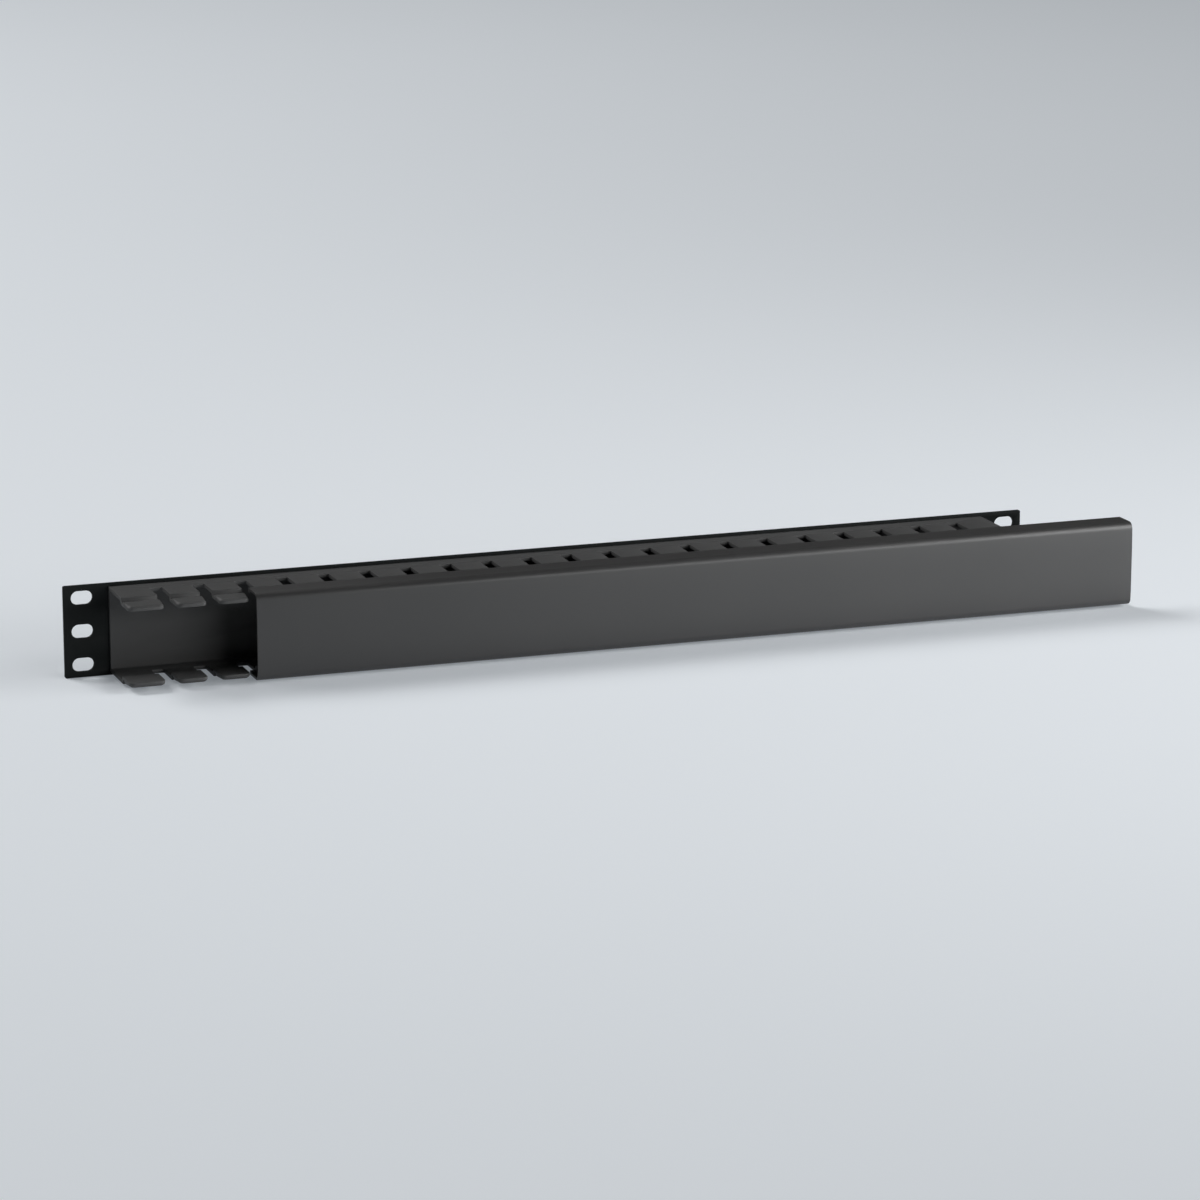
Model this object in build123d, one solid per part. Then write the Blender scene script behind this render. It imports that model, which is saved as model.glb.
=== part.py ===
from build123d import *
import os

# Horizontal cable manager, one rack unit high: a flat 19-inch panel, a slotted cable duct on
# its front and a clip-on lid that slides along the duct. Millimetres, +X along the rack's
# width, +Z up, +Y towards the rack. The origin is the middle of the panel's rear face.

# Panel: flat steel sheet with three slots in each ear
PANEL_LENGTH = 482.6
PANEL_HEIGHT = 43.66
PANEL_THICKNESS = 1.6
RACK_SLOT_EDGE = 8.75
RACK_SLOT_PITCH = 15.875
RACK_SLOT_ROWS = 3
RACK_SLOT_LENGTH = 10.3
RACK_SLOT_WIDTH = 6.6

# Duct: extruded channel whose two side walls are cut into fingers
DUCT_LENGTH = 440.0
DUCT_HEIGHT = 40.8
DUCT_DEPTH = 38.2
DUCT_WALL = 1.8
DUCT_BACK = 2.0
DUCT_INNER_RADIUS = 1.0
FINGER_PITCH = 20.0
FINGER_GAP = 6.0
FINGER_ROOT = 10.0
FINGER_CORNER_CHAMFER = 1.8
FINGER_TIP_CHAMFER = 0.9
END_FINGER_MIN = 12.0
GROOVE_WALL = 1.4
STEP_RUN = 0.8

# Lid: extruded channel that snaps over the finger tips
LID_LENGTH = 443.5
LID_PROUD = 0.3
LID_WALL = 1.3
LID_FRONT = 1.5
LID_FLANGE = 14.5
LID_EDGE_RADIUS = 3.0
LID_INNER_RADIUS = 1.6
HOOK_HEIGHT = 0.9
HOOK_DEPTH = 2.0
HOOK_CHAMFER = 0.5
LID_GAP = 0.3
HOOK_GAP = 0.4
LID_OPEN_BY = 61.6

# Fixings: hexagon screws from inside the duct, nuts behind the panel
FIXING_COUNT = 5
FIXING_PITCH = 70.0
FIXING_HOLE = 4.5
SCREW_DIAMETER = 4.0
SCREW_END = 1.2
HEAD_FLATS = 7.0
HEAD_HEIGHT = 2.8
THREAD_GAP = 0.05
WASHER_DIAMETER = 9.0
WASHER_BORE = 4.3
WASHER_THICKNESS = 0.8
LOCK_WASHER_DIAMETER = 7.6
LOCK_WASHER_THICKNESS = 0.9
LOCK_WASHER_SPLIT = 0.6
LOCK_WASHER_SPLIT_ANGLE = 25.0
NUT_FLATS = 7.0
NUT_THICKNESS = 3.2

# Places that follow from the sizes: distances in front of the panel and half heights
FRONT_FACE = -PANEL_THICKNESS
RACK_SLOT_SPAN = PANEL_LENGTH - 2 * RACK_SLOT_EDGE
LID_INSIDE = DUCT_DEPTH + LID_GAP
LID_OUTSIDE = LID_INSIDE + LID_FRONT
LID_REAR = LID_OUTSIDE - LID_FLANGE
HOOK_FRONT = LID_REAR + HOOK_DEPTH
GROOVE_REAR = LID_REAR - HOOK_GAP
GROOVE_FRONT = HOOK_FRONT + HOOK_GAP
DUCT_HALF = DUCT_HEIGHT / 2
LID_HALF = DUCT_HALF + LID_PROUD
LID_INNER_HALF = LID_HALF - LID_WALL
HOOK_HALF = LID_INNER_HALF - HOOK_HEIGHT
TIP_HALF = LID_INNER_HALF - LID_GAP
GROOVE_HALF = HOOK_HALF - LID_GAP
TIP_INNER_HALF = GROOVE_HALF - GROOVE_WALL


def spread(count, pitch):
    """Places of a row of like features, centred on zero."""
    return [(index - (count - 1) / 2) * pitch for index in range(count)]


def section_face(points):
    """Closed face in the cross-section plane, from (distance in front of panel, height)."""
    outline = [Vector(0, FRONT_FACE - depth, height) for depth, height in points]
    return make_face(Polyline(*outline, close=True))


def mirrored(points):
    """The upper half of a section outline, followed by its mirror image below."""
    return points + [(depth, -height) for depth, height in reversed(points)]


def corners_at(shape, depth, height):
    """The two corners of a section, above and below, at one depth and half height."""
    wanted = [Vector(0, FRONT_FACE - depth, side * height) for side in (1, -1)]
    return [min(shape.vertices(), key=lambda corner: (Vector(corner) - place).length) for place in wanted]


def along_x(face, length, centre=0.0):
    """A section face drawn out along the duct's direction."""
    return Pos(centre, 0, 0) * extrude(face, amount=length / 2, dir=(1, 0, 0), both=True)


def facing_back(depth):
    """Plane across a fixing's axis, at a distance in front of the panel, facing the rack."""
    return Plane(origin=(0, FRONT_FACE - depth, 0), x_dir=(-1, 0, 0), z_dir=(0, 1, 0))


def mounting_panel():
    """Flat panel with its rack slots and the holes for the fixings."""
    plate = Rectangle(PANEL_LENGTH, PANEL_HEIGHT)
    slot_rows = spread(RACK_SLOT_ROWS, RACK_SLOT_PITCH)
    for column in spread(2, RACK_SLOT_SPAN):
        for row in slot_rows:
            plate -= Pos(column, row) * SlotOverall(RACK_SLOT_LENGTH, RACK_SLOT_WIDTH)
    for place in spread(FIXING_COUNT, FIXING_PITCH):
        plate -= Pos(place, 0) * Circle(FIXING_HOLE / 2)
    return extrude(Plane.XZ * plate, amount=PANEL_THICKNESS)


def duct_section():
    """Cross-section of the duct: back wall and two side walls with a groove near the tips."""
    step_rear = GROOVE_REAR - STEP_RUN
    inner_half = DUCT_HALF - DUCT_WALL
    outside = [
        (0, DUCT_HALF),
        (step_rear, DUCT_HALF),
        (GROOVE_REAR, GROOVE_HALF),
        (GROOVE_FRONT, GROOVE_HALF),
        (GROOVE_FRONT, TIP_HALF),
        (DUCT_DEPTH, TIP_HALF),
        (DUCT_DEPTH, TIP_INNER_HALF),
        (GROOVE_REAR - GROOVE_WALL, TIP_INNER_HALF),
        (step_rear - DUCT_WALL, inner_half),
        (DUCT_BACK, inner_half),
    ]
    face = section_face(mirrored(outside))
    face = chamfer(corners_at(face, DUCT_DEPTH, TIP_HALF), FINGER_TIP_CHAMFER)
    return fillet(corners_at(face, DUCT_BACK, inner_half), DUCT_INNER_RADIUS)


def finger_comb():
    """Outline of the side walls seen from above: fingers that stand on a closed strip."""
    half_room = DUCT_LENGTH / 2 - FINGER_GAP / 2 - END_FINGER_MIN
    gap_count = 2 * int(half_room // FINGER_PITCH) + 1
    finger_length = DUCT_DEPTH - FINGER_ROOT
    comb = Pos(0, -DUCT_DEPTH / 2) * Rectangle(DUCT_LENGTH, DUCT_DEPTH)
    for place in spread(gap_count, FINGER_PITCH):
        comb -= Pos(place, -FINGER_ROOT - finger_length / 2) * Rectangle(FINGER_GAP, finger_length)
    tips = comb.vertices().group_by(Axis.Y)[0]
    return chamfer(tips, FINGER_CORNER_CHAMFER)


def slotted_duct():
    """Channel cut into fingers above and below, with the fixing holes in its back wall."""
    channel = along_x(duct_section(), DUCT_LENGTH)
    comb = extrude(Pos(0, FRONT_FACE, 0) * finger_comb(), amount=DUCT_HEIGHT, both=True)
    duct = channel & comb
    for place in spread(FIXING_COUNT, FIXING_PITCH):
        hole = extrude(facing_back(DUCT_BACK) * Circle(FIXING_HOLE / 2), amount=DUCT_BACK)
        duct -= Pos(place, 0, 0) * hole
    return duct


def sliding_lid():
    """Lid with rounded front edges and hooked flanges, slid open as far as shown."""
    outside = [
        (LID_OUTSIDE, LID_HALF),
        (LID_REAR, LID_HALF),
        (LID_REAR, HOOK_HALF + HOOK_CHAMFER),
        (LID_REAR + HOOK_CHAMFER, HOOK_HALF),
        (HOOK_FRONT, HOOK_HALF),
        (HOOK_FRONT, LID_INNER_HALF),
        (LID_INSIDE, LID_INNER_HALF),
    ]
    face = section_face(mirrored(outside))
    face = fillet(corners_at(face, LID_OUTSIDE, LID_HALF), LID_EDGE_RADIUS)
    face = fillet(corners_at(face, LID_INSIDE, LID_INNER_HALF), LID_INNER_RADIUS)
    return along_x(face, LID_LENGTH, LID_OPEN_BY)


def hexagon(flats):
    """Hexagon by its width across flats, with corners to the left and right."""
    return RegularPolygon(flats / 2, 6, major_radius=False)


def fixing_screw():
    """Hexagon screw, its head on the washer inside the duct."""
    head_seat = DUCT_BACK + WASHER_THICKNESS
    grip = head_seat + PANEL_THICKNESS + LOCK_WASHER_THICKNESS + NUT_THICKNESS
    head = extrude(facing_back(head_seat + HEAD_HEIGHT) * hexagon(HEAD_FLATS), amount=HEAD_HEIGHT)
    return head + extrude(facing_back(head_seat) * Circle(SCREW_DIAMETER / 2), amount=grip + SCREW_END)


def washer():
    """Flat washer between the screw's head and the duct's back wall."""
    ring = Circle(WASHER_DIAMETER / 2) - Circle(WASHER_BORE / 2)
    return extrude(facing_back(DUCT_BACK + WASHER_THICKNESS) * ring, amount=WASHER_THICKNESS)


def lock_washer():
    """Split spring washer, flattened between the panel and the nut."""
    ring = Circle(LOCK_WASHER_DIAMETER / 2) - Circle(WASHER_BORE / 2)
    body = extrude(facing_back(-PANEL_THICKNESS) * ring, amount=LOCK_WASHER_THICKNESS)
    cut = Box(LOCK_WASHER_SPLIT, 2 * LOCK_WASHER_DIAMETER, LOCK_WASHER_DIAMETER / 2)
    cut = Rot(0, 0, LOCK_WASHER_SPLIT_ANGLE) * cut
    return body - Pos(0, LOCK_WASHER_THICKNESS / 2, LOCK_WASHER_DIAMETER / 2) * cut


def fixing_nut():
    """Hexagon nut on the screw's end."""
    bore = SCREW_DIAMETER / 2 + THREAD_GAP
    outline = hexagon(NUT_FLATS) - Circle(bore)
    seat = facing_back(-PANEL_THICKNESS - LOCK_WASHER_THICKNESS)
    return extrude(seat * outline, amount=NUT_THICKNESS)


def all_pieces():
    """Every piece of the cable manager by name."""
    pieces = {
        "mounting_panel": mounting_panel(),
        "slotted_duct": slotted_duct(),
        "sliding_lid": sliding_lid(),
    }
    fixing = {
        "fixing_screw": fixing_screw(),
        "flat_washer": washer(),
        "lock_washer": lock_washer(),
        "fixing_nut": fixing_nut(),
    }
    for number, place in enumerate(spread(FIXING_COUNT, FIXING_PITCH), start=1):
        for name, piece in fixing.items():
            pieces[f"{name}_{number}"] = Pos(place, 0, 0) * piece
    return pieces


os.makedirs("parts", exist_ok=True)
for node, solid in all_pieces().items():
    export_step(solid, f"parts/{node}.step")
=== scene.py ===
"""Horizontal cable manager, one rack unit high, with its lid slid out to the right.

Metres, in the part's own frame: the origin is the middle of the panel's rear face, +X to the
right, +Y towards the rack, +Z up. A depth is a distance in front of the panel's front face.
"""
from contextlib import contextmanager
from math import cos, pi, radians, sin, tan

import bmesh
import bpy
from mathutils import Matrix, Vector


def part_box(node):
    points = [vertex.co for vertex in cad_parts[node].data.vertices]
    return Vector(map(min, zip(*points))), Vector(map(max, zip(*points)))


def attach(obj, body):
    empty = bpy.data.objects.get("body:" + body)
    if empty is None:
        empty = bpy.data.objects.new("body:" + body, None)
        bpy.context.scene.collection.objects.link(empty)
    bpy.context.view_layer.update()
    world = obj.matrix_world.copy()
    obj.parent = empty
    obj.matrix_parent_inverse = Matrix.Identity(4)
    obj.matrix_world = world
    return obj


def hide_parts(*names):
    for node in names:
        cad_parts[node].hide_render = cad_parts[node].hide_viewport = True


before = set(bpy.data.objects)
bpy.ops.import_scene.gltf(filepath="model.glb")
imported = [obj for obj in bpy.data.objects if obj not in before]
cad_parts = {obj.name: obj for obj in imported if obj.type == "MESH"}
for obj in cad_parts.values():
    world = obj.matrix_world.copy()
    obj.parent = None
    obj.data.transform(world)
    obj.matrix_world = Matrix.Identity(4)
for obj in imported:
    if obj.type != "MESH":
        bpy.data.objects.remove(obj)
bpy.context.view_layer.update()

MM = 0.001
TINY = 0.02 * MM
CUT_TOLERANCE = 0.001 * MM
SPARE = 1.0 * MM  # how far a cutter reaches past the face that it cuts
STRAIGHT = 0.9  # least cosine of a direction that counts as lying along an axis
ROD_SIDES = 48
HOLE_SIDES = 32
SHARP_ANGLE = radians(35)
SMOOTH_ANGLE = radians(29)
FLAT_ANGLE = radians(1)

# Overall places, taken from the frame
PANEL_LOW, PANEL_HIGH = (Vector(corner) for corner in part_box("mounting_panel"))
DUCT_LOW, DUCT_HIGH = (Vector(corner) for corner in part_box("slotted_duct"))
LID_LOW, LID_HIGH = (Vector(corner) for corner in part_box("sliding_lid"))
FRONT = PANEL_LOW.y
DUCT_DEPTH = FRONT - DUCT_LOW.y
LID_OUTSIDE = FRONT - LID_LOW.y
LID_REAR = FRONT - LID_HIGH.y
FIXINGS = range(1, 6)

# Panel
PANEL_CORNER_RADIUS = 0.8 * MM
PANEL_CORNER_STEPS = 4
PANEL_EDGE_BEVEL = 0.3 * MM
RACK_SLOT_EDGE = 8.75 * MM
RACK_SLOT_PITCH = 15.875 * MM
RACK_SLOT_LENGTH = 10.3 * MM
RACK_SLOT_WIDTH = 6.6 * MM
FIXING_HOLE = 4.5 * MM

# Duct
DUCT_WALL = 1.8 * MM
DUCT_BACK = 2.0 * MM
DUCT_INNER_RADIUS = 1.0 * MM
DUCT_INNER_STEPS = 4
FINGER_PITCH = 20.0 * MM
FINGER_GAP = 6.0 * MM
FINGER_GAPS = 21
FINGER_ROOT = 10.0 * MM
FINGER_ROOT_RADIUS = 0.8 * MM
FINGER_ROOT_STEPS = 4
FINGER_CORNER_RADIUS = 2.8 * MM
FINGER_CORNER_STEPS = 5
FINGER_TIP_CHAMFER = 0.9 * MM
STEP_RUN = 0.8 * MM
GROOVE_WALL = 1.4 * MM
GROOVE_HALF = 18.2 * MM
GROOVE_GAP = 0.4 * MM
TIP_HALF = 19.1 * MM
DUCT_EDGE_BEVEL = 0.2 * MM

# Lid
LID_WALL = 1.3 * MM
LID_EDGE_RADIUS = 3.0 * MM
LID_EDGE_STEPS = 8
LID_CROWN = 0.45 * MM
LID_CROWN_POWER = 4
LID_CROWN_LINES = 6
HOOK_HEIGHT = 0.9 * MM
HOOK_DEPTH = 2.0 * MM
HOOK_CHAMFER = 0.5 * MM
LID_EDGE_BEVEL = 0.15 * MM

# Fixings
HEX_FLATS = 7.0 * MM
HEX_CHAMFER_ANGLE = radians(30)
HEX_CHAMFER_SHARE = 0.95
HEAD_HEIGHT = 2.8 * MM
THREAD_RADIUS = 2.0 * MM
THREAD_PITCH = 0.7 * MM
THREAD_DEPTH = 0.36 * MM
THREAD_STEPS = 24
THREAD_SPARE_TURNS = 3
THREAD_LEAD_TURNS = 1.5
CONE_SIDES = 96
RING_SIDES = 64
NUT_BORE = 2.05 * MM
NUT_MOUTH = 0.25 * MM
WASHER_BORE = 2.15 * MM
LOCK_WASHER_SPLIT = 0.6 * MM
LOCK_WASHER_SPLIT_ANGLE = radians(25)
LOCK_WASHER_SPLIT_REACH = 5.0 * MM
LOCK_WASHER_SPLIT_LOW = 0.5 * MM
FIXING_BEVEL = 0.1 * MM

# Camera, as it stood for the photograph
CAMERA_AZIMUTH = radians(-19.74)
CAMERA_ELEVATION = radians(13.59)
CAMERA_DISTANCE = 2.229
CAMERA_TARGET = Vector((18.32, -9.17, -3.89)) * MM
CAMERA_LENS = 140
CAMERA_SENSOR = 36

# Studio: each lamp's place, width and height, power in watts, and spread
LAMPS = {
    "key_light": ((2.25, -4.35, 1.35), (4.2, 1.2), 82, radians(180)),
    "side_light": ((1.6, -0.6, 0.5), (1.0, 1.0), 5, radians(80)),
    "rear_light": ((-2.4, 2.6, 3.2), (3.0, 2.0), 135, radians(180)),
}
LAMP_TARGET = Vector((0.1, -0.1, 0))
SURROUND_COLOUR = (0.90, 0.95, 1.0, 1)
SURROUND_STRENGTH = 0.01
FLOOR_SIZE = 40
FLOOR_COLOURS = ((0.78, 0.81, 0.84, 1), (0.80, 0.83, 0.86, 1))
FLOOR_CLOUD_SCALE = 1.5
FLOOR_GLOW = (0.175, 0.19, 0.205, 1)

# Places of the sockets that Mix nodes use for colours
MIX_FACTOR = 0
MIX_FIRST = 6
MIX_SECOND = 7
MIX_RESULT = 2


@contextmanager
def editing(piece):
    """Edit mode on one piece, with nothing else selected."""
    bpy.ops.object.select_all(action="DESELECT")
    piece.select_set(True)
    bpy.context.view_layer.objects.active = piece
    bpy.ops.object.mode_set(mode="EDIT")
    yield
    bpy.ops.object.mode_set(mode="OBJECT")


def pick(kind, wanted):
    """Selects the corners, edges or faces whose place and direction are wanted."""
    bpy.ops.mesh.select_mode(type=kind)
    bpy.ops.mesh.select_all(action="DESELECT")
    shape = bmesh.from_edit_mesh(bpy.context.edit_object.data)
    if kind == "FACE":
        items = [(face, face.calc_center_median(), face.normal) for face in shape.faces]
    elif kind == "EDGE":
        items = []
        for edge in shape.edges:
            start, end = (corner.co for corner in edge.verts)
            items.append((edge, (start + end) / 2, (end - start).normalized()))
    else:
        items = [(corner, corner.co, corner.normal) for corner in shape.verts]
    for item, place, direction in items:
        if wanted(place, direction):
            item.select_set(True)
    bmesh.update_edit_mesh(bpy.context.edit_object.data)


def near(value, target):
    """Whether two lengths are the same, to a small tolerance."""
    return abs(value - target) < TINY


def slice_at(place, normal):
    """Cuts new edges across the whole of the piece in edit mode."""
    bpy.ops.mesh.select_all(action="SELECT")
    bpy.ops.mesh.bisect(plane_co=place, plane_no=normal, threshold=CUT_TOLERANCE)


def trim_beyond(y, way, fill=False):
    """Cuts off what lies beyond a place along Y, and closes the cut if asked to."""
    bpy.ops.mesh.select_all(action="SELECT")
    bpy.ops.mesh.bisect(
        plane_co=(0, y, 0),
        plane_no=(0, way, 0),
        use_fill=fill,
        clear_outer=True,
        threshold=CUT_TOLERANCE,
    )


def shift(offset):
    """Moves what is selected."""
    bpy.ops.transform.translate(value=offset)


def settle():
    """Puts the new object at the origin, unturned, with its place in its mesh."""
    bpy.ops.object.transform_apply(location=True, rotation=True, scale=True)
    return bpy.context.object


def block(low, high):
    """A block between two corners, to be shaped further."""
    bpy.ops.object.select_all(action="DESELECT")
    low, high = Vector(low), Vector(high)
    bpy.ops.mesh.primitive_cube_add(size=1, location=(low + high) / 2, scale=high - low)
    return settle()


def rod(radius, rear, front, centre=(0, 0), sides=ROD_SIDES, spin=0.0, ends="NGON"):
    """A round or many-sided rod along Y, between two places, to be shaped further."""
    bpy.ops.object.select_all(action="DESELECT")
    bpy.ops.mesh.primitive_cylinder_add(
        vertices=sides,
        radius=radius,
        depth=rear - front,
        end_fill_type=ends,
        location=(centre[0], (rear + front) / 2, centre[1]),
        rotation=(pi / 2, spin, 0),
    )
    return settle()


def modify(piece, kind, **settings):
    """Adds a modifier to a piece and applies it."""
    bpy.ops.object.select_all(action="DESELECT")
    bpy.context.view_layer.objects.active = piece
    piece.select_set(True)
    modifier = piece.modifiers.new(kind, kind)
    for name, value in settings.items():
        setattr(modifier, name, value)
    bpy.ops.object.modifier_apply(modifier=modifier.name)


def combine(piece, other, operation="DIFFERENCE"):
    """Cuts another shape out of a piece, or joins or trims the piece with it."""
    modify(piece, "BOOLEAN", object=other, operation=operation, solver="EXACT")
    bpy.data.objects.remove(other)
    with editing(piece):
        join_doubles()


def join_doubles():
    """Makes one corner of those that lie in the same place."""
    bpy.ops.mesh.select_all(action="SELECT")
    bpy.ops.mesh.remove_doubles(threshold=CUT_TOLERANCE)


def repeat(piece, count, pitch):
    """Repeats a shape along X."""
    modify(
        piece,
        "ARRAY",
        count=count,
        use_relative_offset=False,
        use_constant_offset=True,
        constant_offset_displace=(pitch, 0, 0),
    )


def soften(piece, width, segments=2):
    """Breaks the sharp edges of a piece and shades the rest smooth."""
    modify(
        piece,
        "BEVEL",
        width=width,
        segments=segments,
        limit_method="ANGLE",
        angle_limit=SHARP_ANGLE,
    )
    shade(piece)


def shade(piece):
    """Shades a piece smooth, apart from its sharp edges."""
    bpy.ops.object.select_all(action="DESELECT")
    bpy.context.view_layer.objects.active = piece
    piece.select_set(True)
    bpy.ops.object.shade_smooth_by_angle(angle=SMOOTH_ANGLE)


def fixing_places():
    """The X of each fixing, from the frame."""
    places = []
    for number in FIXINGS:
        low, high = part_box(f"fixing_screw_{number}")
        places.append((low[0] + high[0]) / 2)
    return places


def make_panel():
    """Flat sheet with rounded corners, six rack slots and the holes for the fixings."""
    panel = block(PANEL_LOW, PANEL_HIGH)
    with editing(panel):
        pick("EDGE", lambda place, way: abs(way.y) > STRAIGHT)
        bpy.ops.mesh.bevel(offset=PANEL_CORNER_RADIUS, segments=PANEL_CORNER_STEPS)
    column = PANEL_HIGH.x - RACK_SLOT_EDGE
    for x in (-column, column):
        for z in (-RACK_SLOT_PITCH, 0, RACK_SLOT_PITCH):
            combine(panel, rack_slot(x, z))
    for x in fixing_places():
        rear = PANEL_HIGH.y + SPARE
        front = PANEL_LOW.y - SPARE
        combine(panel, rod(FIXING_HOLE / 2, rear, front, (x, 0), HOLE_SIDES))
    soften(panel, PANEL_EDGE_BEVEL, segments=3)
    return panel


def rack_slot(x, z):
    """Cutter for one slot: a round bar drawn apart along X."""
    rear = PANEL_HIGH.y + SPARE
    front = PANEL_LOW.y - SPARE
    cutter = rod(RACK_SLOT_WIDTH / 2, rear, front, (x, z), HOLE_SIDES, spin=pi / HOLE_SIDES)
    reach = (RACK_SLOT_LENGTH - RACK_SLOT_WIDTH) / 2
    with editing(cutter):
        pick("VERT", lambda place, way: place.x > x)
        shift((reach, 0, 0))
        pick("VERT", lambda place, way: place.x < x)
        shift((-reach, 0, 0))
    return cutter


def depth_of(place):
    """Distance of a place in front of the panel's front face."""
    return FRONT - place.y


def at_corner(place, depth, half):
    """Whether a place lies in a section's two corners at one depth and half height."""
    return near(depth_of(place), depth) and near(abs(place.z), half)


def upright_at(place, way, depth):
    """Whether an edge stands upright at one depth."""
    return near(depth_of(place), depth) and abs(way.z) > STRAIGHT


def make_duct():
    """Channel with grooved walls, cut into fingers with rounded tips."""
    duct = block(DUCT_LOW, DUCT_HIGH)
    with editing(duct):
        pick("FACE", lambda place, way: way.y < -STRAIGHT or abs(way.x) > STRAIGHT)
        bpy.ops.mesh.delete(type="FACE")
    modify(duct, "SOLIDIFY", thickness=DUCT_WALL, offset=-1, use_even_offset=True)
    inner_half = DUCT_HIGH.z - DUCT_WALL
    within = inner_half + TINY
    with editing(duct):
        pick(
            "VERT",
            lambda place, way: near(depth_of(place), DUCT_WALL) and abs(place.z) < within,
        )
        shift((0, DUCT_WALL - DUCT_BACK, 0))
        pick("EDGE", lambda place, way: at_corner(place, DUCT_BACK, inner_half))
        bpy.ops.mesh.bevel(offset=DUCT_INNER_RADIUS, segments=DUCT_INNER_STEPS)
        groove_walls(inner_half)
    combine(duct, finger_gaps())
    for x in fixing_places():
        rear = FRONT + SPARE
        front = FRONT - 2 * DUCT_BACK
        combine(duct, rod(FIXING_HOLE / 2, rear, front, (x, 0), HOLE_SIDES))
    with editing(duct):
        pick("EDGE", lambda place, way: upright_at(place, way, DUCT_DEPTH))
        bpy.ops.mesh.bevel(offset=FINGER_CORNER_RADIUS, segments=FINGER_CORNER_STEPS)
        rounded = DUCT_DEPTH - FINGER_CORNER_RADIUS
        pick(
            "EDGE",
            lambda place, way: near(abs(place.z), TIP_HALF) and depth_of(place) > rounded,
        )
        bpy.ops.mesh.bevel(offset=FINGER_TIP_CHAMFER, segments=1)
    soften(duct, DUCT_EDGE_BEVEL)
    return duct


def groove_walls(inner_half):
    """Steps both walls inwards for the lid's hooks, and thickens the tips in front of that."""
    groove_rear = LID_REAR - GROOVE_GAP
    groove_front = LID_REAR + HOOK_DEPTH + GROOVE_GAP
    step_rear = groove_rear - STEP_RUN
    inner_rear = groove_rear - GROOVE_WALL
    for depth in (step_rear - DUCT_WALL, inner_rear, step_rear, groove_rear, groove_front):
        slice_at((0, FRONT - depth, 0), (0, 1, 0))
    for side in (1, -1):
        for half, rear, moved_half in (
            (DUCT_HIGH.z, groove_rear, GROOVE_HALF),
            (inner_half, inner_rear, GROOVE_HALF - GROOVE_WALL),
        ):
            pick(
                "VERT",
                lambda place, way: near(place.z, side * half) and depth_of(place) > rear - TINY,
            )
            shift((0, 0, side * (moved_half - half)))
    pick(
        "FACE",
        lambda place, way: depth_of(place) > groove_front
        and near(abs(place.z), GROOVE_HALF)
        and abs(way.z) > STRAIGHT,
    )
    bpy.ops.mesh.extrude_region_shrink_fatten(
        TRANSFORM_OT_shrink_fatten={"value": TIP_HALF - GROOVE_HALF}
    )
    bpy.ops.mesh.select_all(action="SELECT")
    bpy.ops.mesh.dissolve_limited(angle_limit=FLAT_ANGLE)


def finger_gaps():
    """Cutter for all the gaps between fingers, with rounded roots."""
    start = -(FINGER_GAPS - 1) / 2 * FINGER_PITCH
    low = (start - FINGER_GAP / 2, DUCT_LOW.y - SPARE, DUCT_LOW.z - SPARE)
    high = (start + FINGER_GAP / 2, FRONT - FINGER_ROOT, DUCT_HIGH.z + SPARE)
    cutter = block(low, high)
    with editing(cutter):
        pick("EDGE", lambda place, way: upright_at(place, way, FINGER_ROOT))
        bpy.ops.mesh.bevel(offset=FINGER_ROOT_RADIUS, segments=FINGER_ROOT_STEPS)
    repeat(cutter, FINGER_GAPS, FINGER_PITCH)
    return cutter


def make_lid():
    """Channel with rounded front edges and a hook along each flange."""
    lid = block(LID_LOW, LID_HIGH)
    with editing(lid):
        pick("FACE", lambda place, way: way.y > STRAIGHT or abs(way.x) > STRAIGHT)
        bpy.ops.mesh.delete(type="FACE")
        crown_front(LID_HIGH.z)
        edge_depth = LID_OUTSIDE - LID_CROWN
        pick("EDGE", lambda place, way: at_corner(place, edge_depth, LID_HIGH.z))
        bpy.ops.mesh.bevel(offset=LID_EDGE_RADIUS, segments=LID_EDGE_STEPS)
    modify(lid, "SOLIDIFY", thickness=LID_WALL, offset=-1, use_even_offset=True)
    inner_half = LID_HIGH.z - LID_WALL
    hook_front = LID_REAR + HOOK_DEPTH
    hook_half = inner_half - HOOK_HEIGHT
    with editing(lid):
        slice_at((0, FRONT - hook_front, 0), (0, 1, 0))
        pick(
            "FACE",
            lambda place, way: depth_of(place) < hook_front and near(abs(place.z), inner_half),
        )
        bpy.ops.mesh.extrude_region_shrink_fatten(
            TRANSFORM_OT_shrink_fatten={"value": HOOK_HEIGHT}
        )
        pick("EDGE", lambda place, way: at_corner(place, LID_REAR, hook_half))
        bpy.ops.mesh.bevel(offset=HOOK_CHAMFER, segments=1)
    soften(lid, LID_EDGE_BEVEL)
    return lid


def crown_front(half):
    """Bows the lid's front: its middle stays, and its long edges fall back by the crown."""
    lines = range(-LID_CROWN_LINES, LID_CROWN_LINES + 1)
    heights = [half * line / LID_CROWN_LINES for line in lines]
    for height in heights[1:-1]:
        slice_at((0, 0, height), (0, 0, 1))
    for height in heights:
        pick(
            "VERT",
            lambda place, way: near(place.z, height) and near(depth_of(place), LID_OUTSIDE),
        )
        shift((0, LID_CROWN * (height / half) ** LID_CROWN_POWER, 0))


def hexagon_bar(rear, front):
    """Hexagon across its flats, with softened corners to the left and right."""
    bar = rod(HEX_FLATS / 2 / cos(pi / 6), rear, front, sides=6, spin=pi / 6)
    with editing(bar):
        pick("EDGE", lambda place, way: abs(way.y) > STRAIGHT)
        bpy.ops.mesh.bevel(offset=FIXING_BEVEL, segments=2)
    return bar


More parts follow.
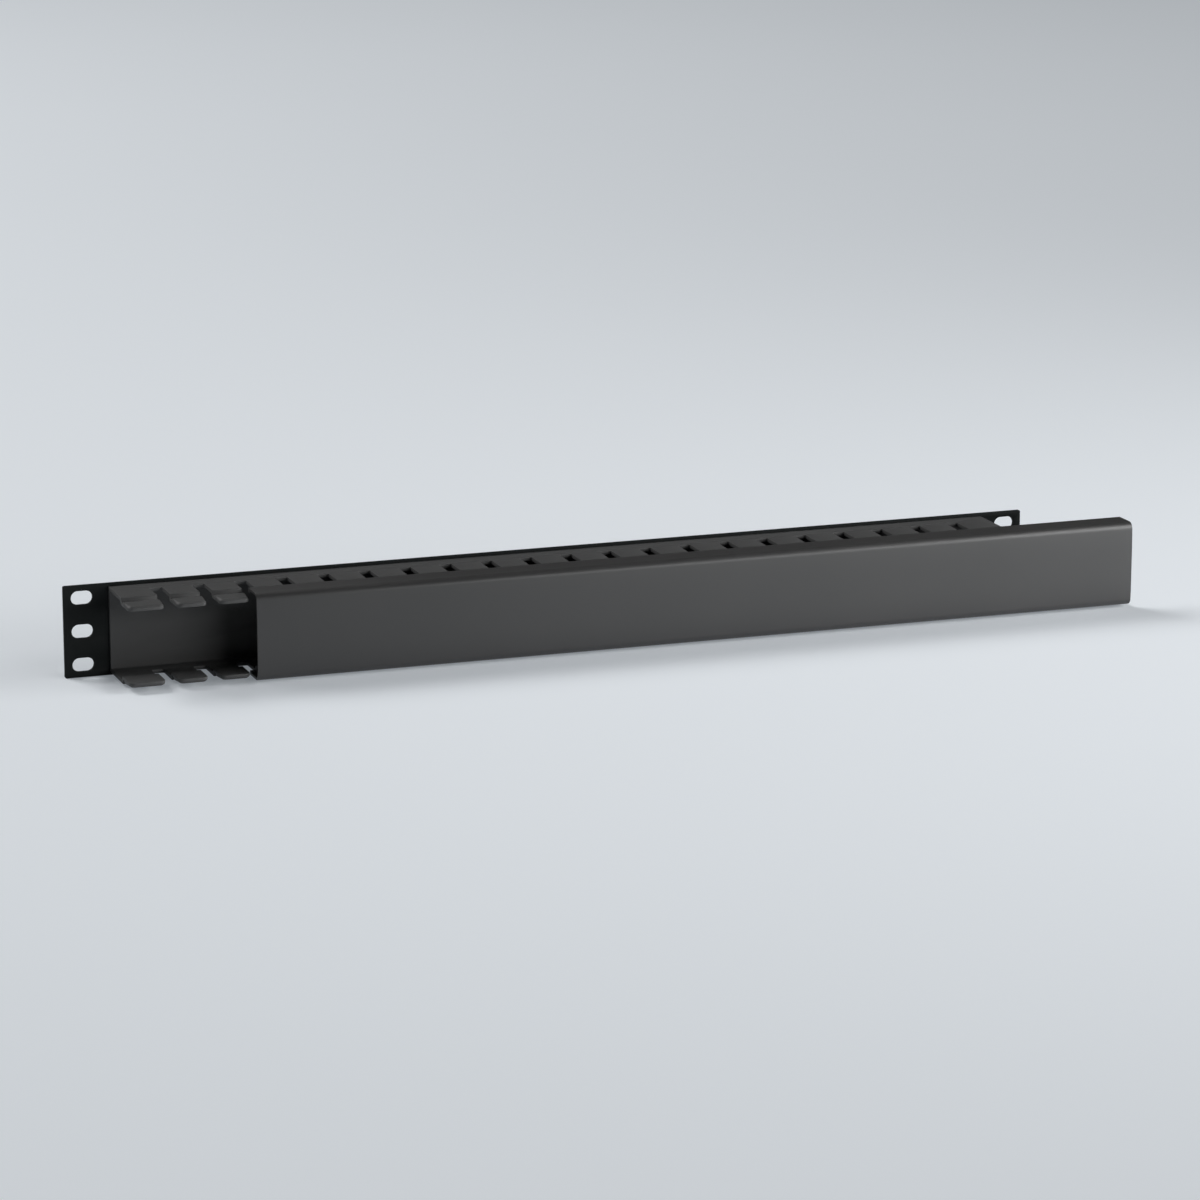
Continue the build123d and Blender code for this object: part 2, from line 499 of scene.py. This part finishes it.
def trim_corners(piece, face, back):
    """Trims a hexagon's corners with a cone that opens from one face towards the back."""
    bpy.ops.object.select_all(action="DESELECT")
    direction = 1 if back > face else -1
    depth = abs(back - face) + 2 * SPARE
    slope = 1 / tan(HEX_CHAMFER_ANGLE)
    narrow = HEX_CHAMFER_SHARE * HEX_FLATS / 2 - SPARE * slope
    bpy.ops.mesh.primitive_cone_add(
        vertices=CONE_SIDES,
        radius1=narrow + depth * slope,
        radius2=narrow,
        depth=depth,
        location=(0, (face + back) / 2, 0),
        rotation=(direction * pi / 2, 0, 0),
    )
    combine(piece, settle(), "INTERSECT")


def make_thread(rear, front):
    """Threaded rod: a ridge's outline drawn round Y as a screw, trimmed flat at both ends."""
    turns = int((rear - front) / THREAD_PITCH) + THREAD_SPARE_TURNS
    bpy.ops.object.select_all(action="DESELECT")
    bpy.ops.mesh.primitive_plane_add(size=MM)
    thread = bpy.context.object
    root = THREAD_RADIUS - THREAD_DEPTH
    with editing(thread):
        pick("VERT", lambda place, way: True)
        bpy.ops.mesh.merge(type="CENTER")
        shift((root, front - THREAD_LEAD_TURNS * THREAD_PITCH, 0))
        for offset in ((THREAD_DEPTH, THREAD_PITCH / 2, 0), (-THREAD_DEPTH, THREAD_PITCH / 2, 0)):
            bpy.ops.mesh.extrude_region_move(TRANSFORM_OT_translate={"value": offset})
    modify(
        thread,
        "SCREW",
        axis="Y",
        screw_offset=THREAD_PITCH,
        iterations=turns,
        steps=THREAD_STEPS,
        render_steps=THREAD_STEPS,
        use_merge_vertices=True,
        merge_threshold=TINY,
    )
    with editing(thread):
        trim_beyond(front, -1, fill=True)
        trim_beyond(rear, 1, fill=True)
        join_doubles()
        bpy.ops.mesh.normals_make_consistent(inside=False)
    return thread


def make_screw():
    """Hexagon screw on the origin's axis: chamfered head and threaded shank."""
    low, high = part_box("fixing_screw_1")
    head_rear = low[1] + HEAD_HEIGHT
    screw = hexagon_bar(head_rear, low[1])
    trim_corners(screw, low[1], head_rear)
    combine(screw, make_thread(high[1], head_rear - SPARE), "UNION")
    shade(screw)
    return screw


def make_nut():
    """Hexagon nut: one chamfered half with its countersunk mouth, then its mirror image."""
    low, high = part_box("fixing_nut_1")
    face = (low[1] - high[1]) / 2
    nut = hexagon_bar(SPARE, face)
    trim_corners(nut, face, SPARE)
    combine(nut, rod(NUT_BORE, 2 * SPARE, face - SPARE))
    with editing(nut):
        mouth = NUT_BORE + TINY
        pick("EDGE", lambda place, way: near(place.y, face) and place.xz.length < mouth)
        bpy.ops.mesh.bevel(offset=NUT_MOUTH, segments=1)
        trim_beyond(0, 1)
    modify(nut, "MIRROR", use_axis=(False, True, False), merge_threshold=CUT_TOLERANCE)
    with editing(nut):
        bpy.ops.mesh.select_all(action="SELECT")
        shift((0, low[1] - face, 0))
    shade(nut)
    return nut


def make_ring(node, bore):
    """Flat ring as large as the node that it stands for; the washers soften its edges afterwards.
    """
    low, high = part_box(node)
    radius = (high[0] - low[0]) / 2
    ring = rod(radius, high[1], low[1], sides=RING_SIDES, ends="NOTHING")
    modify(ring, "SOLIDIFY", thickness=radius - bore, offset=-1, use_even_offset=True)
    return ring


def make_flat_washer():
    """Plain washer."""
    ring = make_ring("flat_washer_1", WASHER_BORE)
    soften(ring, FIXING_BEVEL)
    return ring


def make_lock_washer():
    """Spring washer with a slanted split at its top."""
    low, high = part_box("lock_washer_1")
    ring = make_ring("lock_washer_1", WASHER_BORE)
    middle = (low[1] + high[1]) / 2
    half = LOCK_WASHER_SPLIT / 2
    reach = LOCK_WASHER_SPLIT_REACH
    low_corner = (-half, middle - reach, LOCK_WASHER_SPLIT_LOW)
    high_corner = (half, middle + reach, reach)
    cutter = block(low_corner, high_corner)
    with editing(cutter):
        bpy.ops.mesh.select_all(action="SELECT")
        bpy.ops.transform.rotate(
            value=LOCK_WASHER_SPLIT_ANGLE, orient_axis="Z", center_override=(0, middle, 0)
        )
    combine(ring, cutter)
    soften(ring, FIXING_BEVEL)
    return ring


def place_copies(pattern, node, finish):
    """Copies a fixing's piece to each of its places, each with a mesh of its own."""
    for number, x in zip(FIXINGS, fixing_places()):
        piece = pattern.copy()
        piece.data = pattern.data.copy()
        piece.data.transform(Matrix.Translation((x, 0, 0)))
        bpy.context.collection.objects.link(piece)
        dress(piece, f"{node}_{number}", "manager", finish)
    bpy.data.objects.remove(pattern)


def dress(piece, node, body, finish):
    """Names a piece, gives it its finish and puts it in place of its CAD node."""
    piece.name = f"{node}_piece"
    piece.data.name = piece.name
    piece.data.materials.clear()
    piece.data.materials.append(finish)
    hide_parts(node)
    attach(piece, body)


class Value:
    """One output of a material's nodes. Arithmetic on it adds Math nodes."""

    def __init__(self, finish, socket):
        self.finish = finish
        self.socket = socket

    def maths(self, operation, first, second):
        return self.finish.add("ShaderNodeMath", {"operation": operation}, {0: first, 1: second})

    def __add__(self, other):
        return self.maths("ADD", self, other)

    def __radd__(self, other):
        return self.maths("ADD", other, self)

    def __rmul__(self, other):
        return self.maths("MULTIPLY", other, self)


class Finish:
    """A material in the making, with one Principled shader."""

    def __init__(self, name, **constants):
        self.material = bpy.data.materials.new(name)
        self.material.use_nodes = True
        self.tree = self.material.node_tree
        self.shader = self.tree.nodes["Principled BSDF"]
        for label, value in constants.items():
            self.shader.inputs[label.replace("_", " ")].default_value = value

    def feed(self, socket, value):
        if isinstance(value, Value):
            self.tree.links.new(value.socket, socket)
        else:
            socket.default_value = value

    def add(self, kind, settings, sockets, output=0):
        """Adds a node: its settings first, then the values or links of its sockets."""
        node = self.tree.nodes.new(kind)
        for name, value in settings.items():
            setattr(node, name, value)
        for label, value in sockets.items():
            self.feed(node.inputs[label], value)
        return Value(self, node.outputs[output])

    def place(self, scale):
        """Object coordinates, stretched along each axis."""
        coordinates = self.add("ShaderNodeTexCoord", {}, {}, "Object")
        return self.add("ShaderNodeMapping", {}, {"Vector": coordinates, "Scale": scale})

    def noise(self, scale, stretch=(1, 1, 1), detail=2.0):
        """Noise from 0 to 1, with a scale per metre."""
        sockets = {"Vector": self.place(stretch), "Scale": scale, "Detail": detail}
        return self.add("ShaderNodeTexNoise", {}, sockets, "Fac")

    def ray(self, kind):
        """1 for rays of one kind, such as the camera's, and 0 for the others."""
        return self.add("ShaderNodeLightPath", {}, {}, kind)

    def mix(self, factor, first, second):
        """Blend of two colours."""
        sockets = {MIX_FACTOR: factor, MIX_FIRST: first, MIX_SECOND: second}
        return self.add("ShaderNodeMix", {"data_type": "RGBA"}, sockets, MIX_RESULT)

    def relief(self, height, distance, strength, normal=None):
        """Bump from a height between 0 and 1."""
        sockets = {"Height": height, "Distance": distance, "Strength": strength}
        if normal:
            sockets["Normal"] = normal
        return self.add("ShaderNodeBump", {}, sockets)

    def show(self, **inputs):
        """Feeds the shader and gives the finished material."""
        for label, value in inputs.items():
            self.feed(self.shader.inputs[label.replace("_", " ")], value)
        return self.material


def powder_coat():
    """Satin black powder coat with a fine texture."""
    coat = Finish("panel_powder_coat", Specular_IOR_Level=0.12)
    grain = coat.noise(scale=1400)
    cloud = coat.noise(scale=30, detail=3)
    colour = coat.mix(cloud, (0.007, 0.009, 0.009, 1), (0.010, 0.012, 0.012, 1))
    roughness = 0.48 + 0.16 * grain
    peel = coat.relief(grain, distance=0.06 * MM, strength=0.7)
    return coat.show(Base_Color=colour, Roughness=roughness, Normal=peel)


def duct_plastic():
    """Matt black extruded plastic, with faint drawing lines along its length."""
    plastic = Finish("duct_plastic", Specular_IOR_Level=0.25)
    streak = plastic.noise(scale=900, stretch=(0.01, 1, 1))
    grain = plastic.noise(scale=2200, detail=1)
    cloud = plastic.noise(scale=25, detail=3)
    colour = plastic.mix(cloud, (0.074, 0.075, 0.075, 1), (0.092, 0.093, 0.093, 1))
    roughness = 0.46 + 0.12 * grain + 0.08 * streak
    lines = plastic.relief(streak, distance=0.03 * MM, strength=0.5)
    relief = plastic.relief(grain, distance=0.02 * MM, strength=0.6, normal=lines)
    return plastic.show(Base_Color=colour, Roughness=roughness, Normal=relief)


def lid_plastic():
    """Satin dark grey extruded plastic, with faint drawing lines along its length."""
    plastic = Finish("lid_plastic", Specular_IOR_Level=0.8)
    streak = plastic.noise(scale=700, stretch=(0.008, 1, 1), detail=3)
    grain = plastic.noise(scale=2600, detail=1)
    cloud = plastic.noise(scale=18, detail=4)
    colour = plastic.mix(cloud, (0.037, 0.037, 0.037, 1), (0.047, 0.046, 0.046, 1))
    roughness = 0.38 + 0.08 * grain + 0.08 * cloud
    lines = plastic.relief(streak, distance=0.02 * MM, strength=0.5)
    relief = plastic.relief(grain, distance=0.012 * MM, strength=0.5, normal=lines)
    return plastic.show(Base_Color=colour, Roughness=roughness, Normal=relief)


def zinc_plate():
    """Bright zinc plate with a soft grain and duller patches."""
    zinc = Finish("zinc_plate", Metallic=1.0)
    grain = zinc.noise(scale=2400)
    cloud = zinc.noise(scale=220, detail=3)
    colour = zinc.mix(cloud, (0.50, 0.52, 0.55, 1), (0.66, 0.67, 0.68, 1))
    roughness = 0.26 + 0.10 * grain + 0.12 * cloud
    relief = zinc.relief(grain, distance=0.01 * MM, strength=0.4)
    return zinc.show(Base_Color=colour, Roughness=roughness, Normal=relief)


def make_floor():
    """Large floor under the panel's lower edge, seen a little paler than its light makes it."""
    bpy.ops.object.select_all(action="DESELECT")
    bpy.ops.mesh.primitive_plane_add(size=FLOOR_SIZE, location=(0, 0, PANEL_LOW.z - TINY))
    floor = settle()
    floor.name = "floor"
    pale = Finish("pale_floor", Roughness=1.0, Specular_IOR_Level=0.0, Emission_Strength=1.0)
    colour = pale.mix(pale.noise(scale=FLOOR_CLOUD_SCALE), *FLOOR_COLOURS)
    seen = pale.ray("Is Camera Ray") + pale.ray("Is Glossy Ray") + pale.ray("Is Transmission Ray")
    glow = pale.mix(seen, (0, 0, 0, 1), FLOOR_GLOW)
    floor.data.materials.append(pale.show(Base_Color=colour, Emission_Color=glow))


def make_lights():
    """Soft lamps, stronger from the right, and a faint surround."""
    for name, (place, size, power, spread) in LAMPS.items():
        bpy.ops.object.light_add(type="AREA", location=place)
        lamp = bpy.context.object
        lamp.name = name
        lamp.data.shape = "RECTANGLE"
        lamp.data.size, lamp.data.size_y = size
        lamp.data.energy = power
        lamp.data.spread = spread
        lamp.rotation_euler = (LAMP_TARGET - Vector(place)).to_track_quat("-Z", "Y").to_euler()
    world = bpy.data.worlds.new("surround")
    bpy.context.scene.world = world
    world.use_nodes = True
    surround = world.node_tree.nodes["Background"]
    surround.inputs["Color"].default_value = SURROUND_COLOUR
    surround.inputs["Strength"].default_value = SURROUND_STRENGTH


def make_camera():
    """Camera at the photograph's angle, left of the front and a little above."""
    level = cos(CAMERA_ELEVATION)
    way = Vector((sin(CAMERA_AZIMUTH) * level, -cos(CAMERA_AZIMUTH) * level, sin(CAMERA_ELEVATION)))
    bpy.ops.object.camera_add(location=CAMERA_TARGET + CAMERA_DISTANCE * way)
    camera = bpy.context.object
    camera.rotation_euler = (-way).to_track_quat("-Z", "Y").to_euler()
    camera.data.lens = CAMERA_LENS
    camera.data.sensor_width = CAMERA_SENSOR
    bpy.context.scene.camera = camera


dress(make_panel(), "mounting_panel", "manager", powder_coat())
dress(make_duct(), "slotted_duct", "manager", duct_plastic())
dress(make_lid(), "sliding_lid", "lid", lid_plastic())
zinc = zinc_plate()
place_copies(make_screw(), "fixing_screw", zinc)
place_copies(make_flat_washer(), "flat_washer", zinc)
place_copies(make_lock_washer(), "lock_washer", zinc)
place_copies(make_nut(), "fixing_nut", zinc)

make_floor()
make_lights()
make_camera()
bpy.context.scene.view_settings.view_transform = "Standard"
